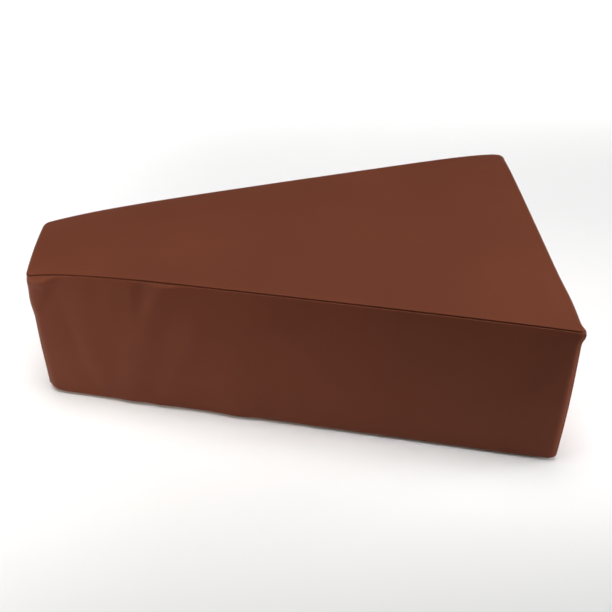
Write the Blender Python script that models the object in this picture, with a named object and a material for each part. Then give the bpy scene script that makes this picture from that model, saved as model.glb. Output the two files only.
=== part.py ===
"""Positioning pad: a firm foam block, wide at one end, in a boxed vinyl cover.

The pad lies on its bottom panel. +X runs along it toward the wide end, the front boxing
faces -Y, and the origin is the middle of its box, on the surface it rests on.
"""

import math
from collections import namedtuple

import bmesh
import bpy
from mathutils import Vector

# Driving sizes, in metres
LENGTH = 0.508
NARROW_WIDTH = 0.096
WIDE_WIDTH = 0.350
HEIGHT = 0.157

# How the cover sits on the block
TOP_ROLL = 0.0032  # radius of the roll down to the top seam
BOTTOM_ROLL = 0.0050
SEAM_DEPTH = 0.0012  # how far the stitched line is drawn in below the roll
SEAM_REACH = 0.002  # half the width of the groove that it leaves
TOP_CROWN = 0.003  # rise of the top panel's middle above its seams
CROWN_POWER_ACROSS = 4  # higher powers keep the panel flat for longer before it falls to a seam
CROWN_POWER_ALONG = 10
SIDE_BULGE = 0.0018  # swell of the boxing between its two seams
NARROW_END_BULGE = 0.3  # share of that swell at the narrow end
SEAM_FADE = 0.008  # a fold in the boxing dies out this far from a seam
LIFTED_RIM = 0.006  # the bottom panel is drawn up at the corners only within this of its seam
MARGIN = 0.014  # strip beside each side seam that keeps its width along the pad

# Cut lines of the block: distances in from each edge, then the pitch or number of the rest
EDGE_CUTS = (0.0024, 0.0060, 0.0120)
FOLDED_TO = 0.072  # the folded part of the boxing ends here, measured along X
FOLDED_PITCH = 0.0058
SMOOTH_PITCH = 0.0180
HEIGHT_PITCH = 0.0090
ACROSS_COUNT = 5
TOUCH = 1e-6  # points nearer than this to a plane lie on it

# Corners of the plan: the end and side they are on, the plan radius of the boxing at the top
# and bottom seams, how far the top panel sags there and over what reach, how far the bottom
# seam is drawn up and over what reach, and how far the top stands out past the foot, along X
Corner = namedtuple("Corner", "end side top_radius bottom_radius sag reach lift lift_reach lean")
CORNERS = (
    Corner(-1, -1, 0.0060, 0.0110, 0.0100, 0.045, 0.0070, 0.024, -0.0022),
    Corner(-1, 1, 0.0060, 0.0110, 0.0065, 0.052, 0.0050, 0.024, -0.0022),
    Corner(1, -1, 0.0060, 0.0090, 0.0022, 0.070, 0.0022, 0.055, 0.0016),
    Corner(1, 1, 0.0130, 0.0100, 0.0055, 0.030, 0.0040, 0.024, 0.0000),
)

# Lumps of gathered cover beside the corners: how far in from the corner and below the top seam
# the middle is, the radius, and how far it stands out past the end and past the side
Pucker = namedtuple("Pucker", "end side inboard drop reach out_end out_side")
PUCKERS = (
    Pucker(1, -1, 0.0040, 0.0080, 0.0070, 0.0026, 0.0008),
    Pucker(1, -1, 0.0450, 0.0050, 0.0320, 0.0014, 0.0000),
    Pucker(1, 1, 0.0040, 0.0080, 0.0080, 0.0020, 0.0010),
)

# Folds of the boxing, each from its upper to its lower end: distance along the boxing from the
# narrow end and height of both ends, how far the middle bows toward the wide end, width of the
# flanks before and after the crest, how much wider they are at the lower end, lift, which is
# below zero for a trough, and the distances over which it dies out at its head and foot
FOLD_COLUMNS = "top_along top_height end_along end_height bow before after spread lift head foot"
Fold = namedtuple("Fold", FOLD_COLUMNS)
FRONT_FOLDS = (
    Fold(0.0285, 0.162, 0.0066, 0.118, 0.0, 0.022, 0.0080, 0.8, 0.0028, 0.016, 0.034),
    Fold(0.032, 0.125, 0.054, 0.010, 0.0, 0.012, 0.011, 1.0, -0.0011, 0.040, 0.016),
    Fold(0.074, 0.156, 0.071, 0.122, 0.0, 0.008, 0.009, 1.0, -0.0008, 0.016, 0.016),
    Fold(0.058, 0.150, 0.054, 0.040, 0.0, 0.012, 0.009, 1.0, 0.0005, 0.016, 0.016),
    Fold(0.123, 0.156, 0.120, 0.124, 0.0, 0.008, 0.007, 1.0, -0.0008, 0.016, 0.016),
    Fold(0.1495, 0.162, 0.119, 0.094, 0.0, 0.013, 0.010, 1.1, 0.0030, 0.016, 0.024),
    Fold(0.1175, 0.094, 0.0925, -0.010, -0.0010, 0.015, 0.013, 1.0, 0.0024, 0.024, 0.016),
    Fold(0.173, 0.116, 0.1228, -0.010, 0.0, 0.013, 0.011, 1.0, 0.0024, 0.070, 0.016),
    Fold(0.227, 0.135, 0.204, -0.010, 0.0030, 0.019, 0.020, 1.0, 0.0028, 0.040, 0.016),
    Fold(0.262, 0.060, 0.245, 0.006, 0.0, 0.011, 0.011, 1.0, 0.0018, 0.024, 0.014),
    Fold(0.290, 0.050, 0.287, -0.006, 0.0, 0.009, 0.008, 1.0, 0.0009, 0.020, 0.016),
    Fold(0.322, 0.060, 0.320, 0.0, 0.0, 0.012, 0.010, 1.0, 0.0006, 0.016, 0.016),
    Fold(0.229, 0.050, 0.226, 0.014, 0.0, 0.008, 0.008, 1.0, -0.0007, 0.024, 0.016),
)
BACK_FOLDS = (
    Fold(0.030, 0.160, 0.012, 0.116, 0.0, 0.012, 0.016, 0.8, 0.0018, 0.016, 0.030),
    Fold(0.118, 0.150, 0.092, 0.020, 0.0030, 0.013, 0.018, 1.2, 0.0020, 0.030, 0.024),
    Fold(0.146, 0.110, 0.128, -0.006, 0.0, 0.011, 0.014, 1.1, 0.0013, 0.050, 0.016),
    Fold(0.236, 0.080, 0.220, -0.006, 0.0, 0.012, 0.010, 1.1, 0.0011, 0.040, 0.016),
    Fold(0.322, 0.158, 0.316, 0.110, 0.0, 0.009, 0.010, 1.0, -0.0008, 0.016, 0.024),
)

# Round rises of the boxing under the top seam: distance along it and height of the middle, half
# of the length and height, and how far the rise stands out
Swell = namedtuple("Swell", "along height reach_along reach_up out")
FRONT_SWELLS = (Swell(0.012, 0.149, 0.017, 0.0060, 0.0020),)
BACK_SWELLS = (Swell(0.480, 0.142, 0.018, 0.0070, 0.0012),)

# Vinyl
VINYL_COLOUR = (0.125, 0.037, 0.020, 1.0)
VINYL_ROUGHNESS = 0.42

SLOPE = (WIDE_WIDTH - NARROW_WIDTH) / 2 / LENGTH
SIDE_STRETCH = math.hypot(1.0, SLOPE)


def half_width(x):
    """Half of the plan's width at a distance along X from the middle."""
    return (NARROW_WIDTH + WIDE_WIDTH) / 4 + SLOPE * x


def widen(x, y):
    """Moves a line of the narrow block out to the taper, with the side margins kept."""
    inner = NARROW_WIDTH / 2 - MARGIN
    if abs(y) <= inner:
        return y * (half_width(x) - MARGIN) / inner
    return math.copysign(abs(y) + half_width(x) - NARROW_WIDTH / 2, y)


def smooth_step(share):
    """0 below 0, 1 above 1, and a smooth rise between."""
    held = min(1.0, max(0.0, share))
    return held * held * (3 - 2 * held)


def corner_of(x, y):
    """The row of the plan's corner that a point is nearest to."""
    for corner in CORNERS:
        if corner.end * x >= 0 and corner.side * y >= 0:
            return corner
    return CORNERS[0]


def round_off(first, second, radius):
    """Brings two distances in from a square edge onto an arc of the radius."""
    a = radius - first
    b = radius - second
    if a <= 0 or b <= 0:
        return first, second
    shrink = max(a, b) / math.hypot(a, b)
    return radius - a * shrink, radius - b * shrink


def plan_point(x, y, height):
    """A plan point after the corners are rounded, and the direction straight in from there."""
    corner = corner_of(x, y)
    share = height / HEIGHT
    radius = corner.bottom_radius + (corner.top_radius - corner.bottom_radius) * share
    from_end = LENGTH / 2 - abs(x)
    from_side = half_width(x) - abs(y)
    a = radius - from_end
    b = radius - from_side
    if a > 0 and b > 0:
        new_end, new_side = round_off(from_end, from_side, radius)
        inward = Vector((-corner.end * a, -corner.side * b)).normalized()
        x_new = corner.end * (LENGTH / 2 - new_end)
        return Vector((x_new, corner.side * (half_width(x) - new_side))), inward
    if from_side < from_end:
        inward = Vector((SLOPE, -math.copysign(1.0, y))).normalized()
    else:
        inward = Vector((-math.copysign(1.0, x), 0.0))
    return Vector((x, y)), inward


def corner_tip(end, side):
    """The plan point of a corner before it is rounded."""
    return Vector((end * LENGTH / 2, side * half_width(end * LENGTH / 2)))


def sag(plan):
    """How far the cover hangs below its full height at a plan point."""
    total = 0.0
    for corner in CORNERS:
        gap = (plan - corner_tip(corner.end, corner.side)).length
        total += corner.sag * math.exp(-gap / corner.reach)
    return total


def lift(plan, height, from_edge):
    """How far the foot of the cover is drawn up off the surface near the corners."""
    total = 0.0
    for corner in CORNERS:
        gap = (plan - corner_tip(corner.end, corner.side)).length
        near = max(0.0, 1 - math.hypot(gap, height) / corner.lift_reach)
        total += corner.lift * near * near
    return total * max(0.0, 1 - from_edge / LIFTED_RIM)


def lean(point):
    """How far the cover leans out along X at a point on it."""
    total = 0.0
    for corner in CORNERS:
        along = min(1.0, max(0.0, 0.5 + corner.end * point.x / LENGTH))
        across = min(1.0, max(0.0, 0.5 + corner.side * point.y / (2 * half_width(point.x))))
        total += corner.end * corner.lean * along**3 * across * point.z / HEIGHT
    return total


def crown(plan):
    """Rise of the top panel over its seams at a plan point."""
    across = min(1.0, abs(plan.y) / half_width(plan.x))
    along = min(1.0, 2 * abs(plan.x) / LENGTH)
    return TOP_CROWN * (1 - across**CROWN_POWER_ACROSS) * (1 - along**CROWN_POWER_ALONG)


def fold_lift(folds, along, height):
    """Sum of the folds at a place on the boxing."""
    total = 0.0
    for fold in folds:
        run = fold.top_along - fold.end_along
        rise = fold.top_height - fold.end_height
        share = min(1.0, max(0.0, (height - fold.end_height) / rise))
        crest = fold.end_along + run * share + fold.bow * 4 * share * (1 - share)
        across = (along - crest) * rise / math.hypot(run, rise)
        width = fold.before if across < 0 else fold.after
        width *= 1 + (fold.spread - 1) * (1 - share)
        foot = smooth_step((height - fold.end_height) / fold.foot + 0.5)
        head = smooth_step((fold.top_height - height) / fold.head + 0.5)
        total += fold.lift * foot * head * math.exp(-((across / width) ** 2))
    return total


def swell_lift(swells, along, height):
    """Sum of the round rises at a place on the boxing."""
    total = 0.0
    for swell in swells:
        off_along = (along - swell.along) / swell.reach_along
        off_up = (height - swell.height) / swell.reach_up
        total += swell.out * math.exp(-(off_along**2) - off_up**2)
    return total


def seam_share(height):
    """0 at the top and bottom seams, 1 over the middle of the boxing."""
    return smooth_step(min(height, HEIGHT - height) / SEAM_FADE)


def stand_out(x, y, height):
    """How far the boxing stands out from its straight line."""
    share = 2 * height / HEIGHT - 1
    out = SIDE_BULGE * (1 - share * share)
    if half_width(x) - abs(y) < LENGTH / 2 - abs(x):
        folds, swells = (FRONT_FOLDS, FRONT_SWELLS) if y < 0 else (BACK_FOLDS, BACK_SWELLS)
        along = (x + LENGTH / 2) * SIDE_STRETCH
        creased = fold_lift(folds, along, height) + swell_lift(swells, along, height)
        out += seam_share(height) * creased
    elif x < 0:
        out *= NARROW_END_BULGE
    return out


def puckered(point):
    """A point moved out where the cover is gathered beside a corner."""
    moved = point.copy()
    for pucker in PUCKERS:
        tip = corner_tip(pucker.end, pucker.side)
        middle = Vector((tip.x, tip.y - pucker.side * pucker.inboard, HEIGHT - pucker.drop))
        fall = math.exp(-(((point - middle).length / pucker.reach) ** 2))
        moved += fall * Vector((pucker.end * pucker.out_end, pucker.side * pucker.out_side, 0))
    return moved


def groove(first, second):
    """How far a point is drawn in, from its distances to a seam along both faces."""
    return SEAM_DEPTH * max(0.0, 1 - max(first, second) / SEAM_REACH)


def formed(point):
    """Where a point on the skin of the straight narrow block ends up on the pad."""
    x, height = point.x, point.z
    y = widen(x, point.y)
    from_end = LENGTH / 2 - abs(x)
    from_side = half_width(x) - abs(y)
    from_edge = min(from_end, from_side)
    plan, inward = plan_point(x, y, height)
    on_boxing = from_edge < TOUCH

    from_seam = min(height, HEIGHT - height)
    roll = TOP_ROLL if height > HEIGHT / 2 else BOTTOM_ROLL
    rolled_in, rolled_down = round_off(from_edge, from_seam, roll)
    drawn = groove(from_edge, from_seam) * math.sqrt(0.5)
    move_in = rolled_in - from_edge + drawn
    down = rolled_down + drawn
    if on_boxing:
        move_in -= stand_out(x, y, height)
        if x > 0:
            move_in += groove(from_end, from_side) * seam_share(height)
    z = HEIGHT - down if height > HEIGHT / 2 else down

    z = z * (1 - sag(plan) / HEIGHT) + lift(plan, height, from_edge)
    if height > HEIGHT - TOUCH:
        z += crown(plan)
    plan = plan + inward * move_in
    out = Vector((plan.x, plan.y, z))
    out.x += lean(out)
    return puckered(out)


def spaced(start, end, pitch):
    """Even steps between two places, both ends left out."""
    count = max(1, round((end - start) / pitch))
    return [start + (end - start) * i / count for i in range(1, count)]


def cut_places():
    """The cut lines of the block along each axis."""
    end = LENGTH / 2
    inner_end = end - EDGE_CUTS[-1]
    along = [-end + cut for cut in EDGE_CUTS] + [end - cut for cut in EDGE_CUTS] + [FOLDED_TO]
    along += spaced(-inner_end, FOLDED_TO, FOLDED_PITCH) + spaced(FOLDED_TO, inner_end, SMOOTH_PITCH)

    side = NARROW_WIDTH / 2
    inner_side = side - EDGE_CUTS[-1]
    across = [-side + cut for cut in EDGE_CUTS] + [side - cut for cut in EDGE_CUTS]
    across += spaced(-inner_side, inner_side, 2 * inner_side / ACROSS_COUNT)

    inner_top = HEIGHT - EDGE_CUTS[-1]
    upward = list(EDGE_CUTS) + [HEIGHT - cut for cut in EDGE_CUTS]
    upward += spaced(EDGE_CUTS[-1], inner_top, HEIGHT_PITCH)
    return along, across, upward


def cut_block():
    """A straight block of the narrow end's width, with its skin cut along every line."""
    mesh = bmesh.new()
    bmesh.ops.create_cube(mesh, size=1.0)
    bmesh.ops.translate(mesh, verts=mesh.verts, vec=(0, 0, 0.5))
    bmesh.ops.scale(mesh, verts=mesh.verts, vec=(LENGTH, NARROW_WIDTH, HEIGHT))
    for axis, places in enumerate(cut_places()):
        normal = Vector((0, 0, 0))
        normal[axis] = 1
        for place in places:
            skin = mesh.verts[:] + mesh.edges[:] + mesh.faces[:]
            bmesh.ops.bisect_plane(mesh, geom=skin, plane_co=normal * place, plane_no=normal)
    return mesh


def centre_on_base(mesh):
    """Moves the form so that the middle of its box is over the origin and it rests at zero."""
    low = [min(vert.co[axis] for vert in mesh.verts) for axis in range(3)]
    high = [max(vert.co[axis] for vert in mesh.verts) for axis in range(3)]
    shift = Vector((-(low[0] + high[0]) / 2, -(low[1] + high[1]) / 2, -low[2]))
    bmesh.ops.translate(mesh, verts=mesh.verts, vec=shift)


def join_flat_base(mesh):
    """Joins the flat cells that the pad rests on into one face."""
    flat = [face for face in mesh.faces if all(vert.co.z < TOUCH for vert in face.verts)]
    bmesh.ops.dissolve_faces(mesh, faces=flat)


def vinyl():
    """Satin brown vinyl."""
    material = bpy.data.materials.new("vinyl")
    material.use_nodes = True
    shader = material.node_tree.nodes["Principled BSDF"]
    shader.inputs["Base Color"].default_value = VINYL_COLOUR
    shader.inputs["Roughness"].default_value = VINYL_ROUGHNESS
    shader.inputs["Metallic"].default_value = 0.0
    material.diffuse_color = VINYL_COLOUR
    return material


def build_pad(collection):
    """The whole pad as one filled solid."""
    mesh = cut_block()
    for vert in mesh.verts:
        vert.co = formed(vert.co)
    centre_on_base(mesh)
    join_flat_base(mesh)
    bmesh.ops.recalc_face_normals(mesh, faces=mesh.faces)
    data = bpy.data.meshes.new("pad")
    mesh.to_mesh(data)
    mesh.free()
    data.shade_smooth()
    data.materials.append(vinyl())
    pad = bpy.data.objects.new("pad", data)
    collection.objects.link(pad)
    return pad


def main():
    """Clears the scene and builds the pad."""
    for old in list(bpy.data.objects):
        bpy.data.objects.remove(old, do_unlink=True)
    collection = bpy.data.collections.new("positioning_pad")
    bpy.context.scene.collection.children.link(collection)
    build_pad(collection)


main()
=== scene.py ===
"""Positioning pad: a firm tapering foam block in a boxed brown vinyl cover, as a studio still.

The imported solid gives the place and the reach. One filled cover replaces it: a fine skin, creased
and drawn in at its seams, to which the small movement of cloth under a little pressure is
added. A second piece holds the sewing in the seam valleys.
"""

import logging
import math
from dataclasses import dataclass, field
from enum import Enum

import bpy
import numpy as np
from mathutils import Matrix, Vector


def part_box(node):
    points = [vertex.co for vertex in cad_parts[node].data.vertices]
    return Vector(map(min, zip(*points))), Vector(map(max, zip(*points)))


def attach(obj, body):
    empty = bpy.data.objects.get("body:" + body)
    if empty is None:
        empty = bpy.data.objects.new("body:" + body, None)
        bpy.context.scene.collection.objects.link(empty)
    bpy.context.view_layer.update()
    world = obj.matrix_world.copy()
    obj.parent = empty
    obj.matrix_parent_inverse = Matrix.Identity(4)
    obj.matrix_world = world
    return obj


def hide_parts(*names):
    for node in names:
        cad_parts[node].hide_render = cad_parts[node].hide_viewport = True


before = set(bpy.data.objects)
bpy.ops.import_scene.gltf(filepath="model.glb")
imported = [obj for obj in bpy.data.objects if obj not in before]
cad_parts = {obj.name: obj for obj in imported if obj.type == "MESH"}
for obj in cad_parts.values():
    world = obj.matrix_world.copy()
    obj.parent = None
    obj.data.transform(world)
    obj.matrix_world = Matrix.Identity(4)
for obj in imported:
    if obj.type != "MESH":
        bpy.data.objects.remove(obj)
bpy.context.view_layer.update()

log = logging.getLogger("positioning_pad")

BODY = "root"
NODE = "pad"
MM = 0.001
TOUCH = 1e-6  # points nearer than this to a plane lie on it


class Boxing(Enum):
    """The two long boxing strips, by the side of the plan that each closes."""

    FRONT = -1
    BACK = 1


@dataclass(frozen=True)
class Corner:
    """One upright corner of the plan, seen from above.

    Args:
        end: -1 at the narrow end, 1 at the wide end.
        side: -1 at the front, 1 at the back.
        top_radius: plan radius of the boxing at the top seam.
        bottom_radius: plan radius of the boxing at the bottom seam.
        sag: how far the top seam hangs there below its full height.
        reach: distance over which that sag dies out.
        lift: how far the bottom seam is drawn up off the surface.
        lift_reach: distance over which that lift dies out.
        lean: how far the top stands out past the foot there, along the pad.
    """

    end: int
    side: int
    top_radius: float
    bottom_radius: float
    sag: float
    reach: float
    lift: float
    lift_reach: float
    lean: float


@dataclass(frozen=True)
class Fold:
    """One soft crease that runs down the boxing.

    Args:
        top_along: distance of the upper end from the narrow end, along the boxing.
        top_height: its height, past the seam where the crease runs into it.
        end_along: distance of the lower end from the narrow end.
        end_height: its height.
        bow: how far the crease's middle lies from the straight line, toward the wide end.
        before: width of its flank toward the narrow end.
        after: width of its flank toward the wide end.
        spread: how much wider both flanks are at the lower end.
        lift: height of the crease, below zero for a trough.
        head: distance over which it dies out at its upper end.
        foot: distance over which it dies out at its lower end.
    """

    top_along: float
    top_height: float
    end_along: float
    end_height: float
    bow: float
    before: float
    after: float
    spread: float
    lift: float
    head: float
    foot: float


@dataclass(frozen=True)
class Swell:
    """One round rise or hollow of the boxing.

    Args:
        along: distance from the narrow end, along the boxing.
        height: height of its middle.
        reach_along: half of its length.
        reach_up: half of its height.
        out: how far it stands out, below zero for a hollow.
    """

    along: float
    height: float
    reach_along: float
    reach_up: float
    out: float


@dataclass(frozen=True)
class Pucker:
    """One gathered lump of the cover where two seams meet.

    Args:
        end: -1 at the narrow end, 1 at the wide end.
        side: -1 at the front, 1 at the back.
        inboard: how far its middle lies in from the corner, along the end.
        drop: how far its middle lies below the top seam.
        reach: radius of the lump.
        out_end: how far it stands out past the end.
        out_side: how far it stands out past the side.
    """

    end: int
    side: int
    inboard: float
    drop: float
    reach: float
    out_end: float
    out_side: float


CORNERS = (
    Corner(-1, -1, 0.0060, 0.0110, 0.0100, 0.045, 0.0070, 0.024, -0.0022),
    Corner(-1, 1, 0.0060, 0.0110, 0.0065, 0.052, 0.0050, 0.024, -0.0022),
    Corner(1, -1, 0.0060, 0.0090, 0.0022, 0.070, 0.0022, 0.055, 0.0016),
    Corner(1, 1, 0.0130, 0.0100, 0.0055, 0.030, 0.0040, 0.024, 0.0000),
)
PUCKERS = (
    Pucker(1, -1, 0.0030, 0.0085, 0.0056, 0.0026, 0.0008),
    Pucker(1, -1, 0.0060, 0.0020, 0.0060, 0.0012, 0.0000),
    Pucker(1, -1, 0.0450, 0.0050, 0.0320, 0.0014, 0.0000),
    Pucker(1, 1, 0.0040, 0.0080, 0.0080, 0.0020, 0.0010),
)
FOLDS = {
    Boxing.FRONT: (
        Fold(0.0285, 0.162, 0.0066, 0.118, 0.0, 0.022, 0.0070, 0.7, 0.0028, 0.016, 0.034),
        Fold(0.032, 0.125, 0.054, 0.010, 0.0, 0.012, 0.011, 1.0, -0.0011, 0.040, 0.016),
        Fold(0.074, 0.156, 0.071, 0.122, 0.0, 0.008, 0.009, 1.0, -0.0008, 0.016, 0.016),
        Fold(0.058, 0.150, 0.054, 0.040, 0.0, 0.012, 0.009, 1.0, 0.0005, 0.016, 0.016),
        Fold(0.110, 0.152, 0.106, 0.112, 0.0, 0.006, 0.006, 1.0, 0.0007, 0.016, 0.024),
        Fold(0.123, 0.156, 0.120, 0.124, 0.0, 0.007, 0.006, 1.0, -0.0007, 0.016, 0.016),
        Fold(0.1495, 0.162, 0.119, 0.094, 0.0, 0.013, 0.010, 1.1, 0.0025, 0.016, 0.024),
        Fold(0.1175, 0.094, 0.0925, -0.010, -0.0010, 0.015, 0.013, 1.0, 0.0019, 0.024, 0.016),
        Fold(0.173, 0.116, 0.1228, -0.010, 0.0, 0.013, 0.011, 1.0, 0.0018, 0.070, 0.016),
        Fold(0.227, 0.135, 0.204, -0.010, 0.0030, 0.019, 0.020, 1.0, 0.0026, 0.040, 0.016),
        Fold(0.262, 0.060, 0.245, 0.006, 0.0, 0.011, 0.011, 1.0, 0.0015, 0.024, 0.014),
        Fold(0.290, 0.050, 0.287, -0.006, 0.0, 0.009, 0.007, 1.0, 0.0008, 0.020, 0.016),
        Fold(0.322, 0.060, 0.320, 0.0, 0.0, 0.012, 0.009, 1.0, 0.0005, 0.016, 0.016),
        Fold(0.210, 0.034, 0.207, 0.010, 0.0, 0.005, 0.005, 1.0, -0.0005, 0.016, 0.010),
        Fold(0.229, 0.050, 0.226, 0.014, 0.0, 0.007, 0.007, 1.0, -0.0006, 0.024, 0.016),
    ),
    Boxing.BACK: (
        Fold(0.030, 0.160, 0.012, 0.116, 0.0, 0.012, 0.016, 0.8, 0.0018, 0.016, 0.030),
        Fold(0.118, 0.150, 0.092, 0.020, 0.0030, 0.013, 0.018, 1.2, 0.0020, 0.030, 0.024),
        Fold(0.146, 0.110, 0.128, -0.006, 0.0, 0.011, 0.014, 1.1, 0.0013, 0.050, 0.016),
        Fold(0.236, 0.080, 0.220, -0.006, 0.0, 0.012, 0.010, 1.1, 0.0011, 0.040, 0.016),
        Fold(0.322, 0.158, 0.316, 0.110, 0.0, 0.009, 0.010, 1.0, -0.0008, 0.016, 0.024),
    ),
}
SWELLS = {
    Boxing.FRONT: (
        Swell(0.016, 0.149, 0.014, 0.0055, 0.0020),
        Swell(0.090, 0.018, 0.017, 0.0026, -0.0005),
        Swell(0.200, 0.018, 0.010, 0.0026, -0.0004),
    ),
    Boxing.BACK: (Swell(0.480, 0.142, 0.018, 0.0070, 0.0012),),
}


def smooth_step(share: np.ndarray) -> np.ndarray:
    """0 below 0, 1 above 1, and a smooth rise between."""
    held = np.clip(share, 0.0, 1.0)
    return held * held * (3 - 2 * held)


@dataclass
class PadForm:
    """The pad's real sizes, and the way from a straight block's skin to the cover's form.

    Points come in as rows of the skin of a straight block that is as wide as the narrow end.

    Args:
        length: length along X.
        narrow_width: width at the narrow end.
        wide_width: width at the wide end.
        height: height at the seams, before any sag.
        top_roll: radius of the roll down to the top seam.
        bottom_roll: radius of the roll at the bottom seam.
        seam_depth: how far the stitched line is drawn in below the roll.
        seam_reach: distance over which that groove dies out.
        top_crown: rise of the top panel's middle above its seams.
        crown_power_across: a higher power keeps the panel flat for longer across the pad.
        crown_power_along: the same along the pad.
        side_bulge: swell of the boxing between its two seams.
        narrow_end_bulge: share of that swell at the narrow end.
        seam_fade: a fold in the boxing dies out this far from a seam.
        lifted_rim: the bottom panel is drawn up at the corners only within this of its seam.
        margin: strip beside each side seam that keeps its width along the pad.
    """

    length: float = 0.508
    narrow_width: float = 0.096
    wide_width: float = 0.350
    height: float = 0.157
    top_roll: float = 0.0024
    bottom_roll: float = 0.0050
    seam_depth: float = 0.0011
    seam_reach: float = 0.0008
    top_crown: float = 0.003
    crown_power_across: int = 4
    crown_power_along: int = 10
    side_bulge: float = 0.0018
    narrow_end_bulge: float = 0.3
    seam_fade: float = 0.0045
    lifted_rim: float = 0.006
    margin: float = 0.014

    @property
    def slope(self) -> float:
        """How much each side runs out for a step along the pad."""
        return (self.wide_width - self.narrow_width) / 2 / self.length

    def half_width(self, x: np.ndarray) -> np.ndarray:
        """Half of the plan's width at a distance along X from the middle."""
        return (self.narrow_width + self.wide_width) / 4 + self.slope * x

    def widen(self, x: np.ndarray, y: np.ndarray) -> np.ndarray:
        """Moves lines of the narrow block out to the taper, with the side margins kept.

        Args:
            x: distances along the pad.
            y: distances across the straight block.

        Returns:
            Distances across the tapering pad.
        """
        inner = self.narrow_width / 2 - self.margin
        middle = y * (self.half_width(x) - self.margin) / inner
        beside = np.sign(y) * (np.abs(y) + self.half_width(x) - self.narrow_width / 2)
        return np.where(np.abs(y) <= inner, middle, beside)

    def corner_values(self, x: np.ndarray, y: np.ndarray, name: str) -> np.ndarray:
        """The named size of the corner that each point is nearest to.

        Args:
            x: distances along the pad.
            y: distances across it.
            name: the size's name.

        Returns:
            One value a point.
        """
        out = np.zeros(len(x))
        for corner in CORNERS:
            near = (corner.end * x >= 0) & (corner.side * y >= 0)
            out[near] = getattr(corner, name)
        return out

    @staticmethod
    def round_off(
        first: np.ndarray, second: np.ndarray, radius: np.ndarray | float
    ) -> tuple[np.ndarray, np.ndarray]:
        """Brings distances in from a square edge onto an arc of the radius.

        Args:
            first: distances in from one face.
            second: distances in from the other face.
            radius: radius of the arc.

        Returns:
            Both distances on the arc.
        """
        a = radius - first
        b = radius - second
        inside = (a > 0) & (b > 0)
        spread = np.where(inside, np.hypot(a, b), 1.0)
        shrink = np.where(inside, np.maximum(a, b) / spread, 1.0)
        rounded_first = np.where(inside, radius - a * shrink, first)
        rounded_second = np.where(inside, radius - b * shrink, second)
        return rounded_first, rounded_second

    def plan(self, x: np.ndarray, y: np.ndarray, z: np.ndarray) -> tuple[np.ndarray, np.ndarray]:
        """Plan points with the corners rounded, and the direction straight in from each.

        Args:
            x: distances along the pad.
            y: distances across it.
            z: heights, which choose between a corner's two radii.

        Returns:
            Plan points and unit directions, two columns each.
        """
        share = z / self.height
        top = self.corner_values(x, y, "top_radius")
        bottom = self.corner_values(x, y, "bottom_radius")
        radius = bottom + (top - bottom) * share
        end_sign = np.where(x >= 0, 1.0, -1.0)
        side_sign = np.where(y >= 0, 1.0, -1.0)
        from_end = self.length / 2 - np.abs(x)
        from_side = self.half_width(x) - np.abs(y)
        a = radius - from_end
        b = radius - from_side
        in_corner = (a > 0) & (b > 0)
        new_end, new_side = self.round_off(from_end, from_side, radius)
        x_new = end_sign * (self.length / 2 - new_end)
        points = np.stack([x_new, side_sign * (self.half_width(x) - new_side)], axis=1)
        beside = np.stack([np.full(len(x), self.slope), -side_sign], axis=1)
        beside /= math.hypot(1.0, self.slope)
        at_end = np.stack([-end_sign, np.zeros(len(x))], axis=1)
        straight = np.where((from_side < from_end)[:, None], beside, at_end)
        spread = np.where(in_corner, np.hypot(a, b), 1.0)
        round_in = np.stack([-end_sign * a / spread, -side_sign * b / spread], axis=1)
        return points, np.where(in_corner[:, None], round_in, straight)

    def corner_tip(self, end: int, side: int) -> np.ndarray:
        """Plan point of a corner before it is rounded.

        Args:
            end: -1 at the narrow end, 1 at the wide end.
            side: -1 at the front, 1 at the back.

        Returns:
            The point's x and y.
        """
        tip_x = end * self.length / 2
        return np.array([tip_x, side * self.half_width(tip_x)])

    def sag(self, plan: np.ndarray) -> np.ndarray:
        """How far the cover hangs below its full height at each plan point.

        Args:
            plan: plan points, two columns.

        Returns:
            The drop for each point.
        """
        total = np.zeros(len(plan))
        for corner in CORNERS:
            gap = np.linalg.norm(plan - self.corner_tip(corner.end, corner.side), axis=1)
            total += corner.sag * np.exp(-gap / corner.reach)
        return total

    def lift(self, plan: np.ndarray, z: np.ndarray, from_edge: np.ndarray) -> np.ndarray:
        """How far the cover's foot is drawn up off the surface near each corner.

        Args:
            plan: plan points.
            z: heights.
            from_edge: distances in from the bottom seam.

        Returns:
            The step up for each point.
        """
        total = np.zeros(len(plan))
        for corner in CORNERS:
            gap = np.linalg.norm(plan - self.corner_tip(corner.end, corner.side), axis=1)
            near = np.maximum(0.0, 1 - np.hypot(gap, z) / corner.lift_reach)
            total += corner.lift * near * near
        return total * np.maximum(0.0, 1 - from_edge / self.lifted_rim)

    def crown(self, plan: np.ndarray) -> np.ndarray:
        """Rise of the top panel over its seams at each plan point.

        Args:
            plan: plan points, two columns.

        Returns:
            The rise for each point.
        """
        across = np.minimum(1.0, np.abs(plan[:, 1]) / self.half_width(plan[:, 0]))
        along = np.minimum(1.0, 2 * np.abs(plan[:, 0]) / self.length)
        fall_across = 1 - across**self.crown_power_across
        return self.top_crown * fall_across * (1 - along**self.crown_power_along)

    def lean(self, points: np.ndarray) -> np.ndarray:
        """How far the cover leans out along the pad at each point.

        Args:
            points: rows of x, y, z on the cover.

        Returns:
            The step along X for each row.
        """
        total = np.zeros(len(points))
        for corner in CORNERS:
            along = np.clip(0.5 + corner.end * points[:, 0] / self.length, 0.0, 1.0)
            width = 2 * self.half_width(points[:, 0])
            across = np.clip(0.5 + corner.side * points[:, 1] / width, 0.0, 1.0)
            total += corner.end * corner.lean * along**3 * across * points[:, 2] / self.height
        return total

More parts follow.
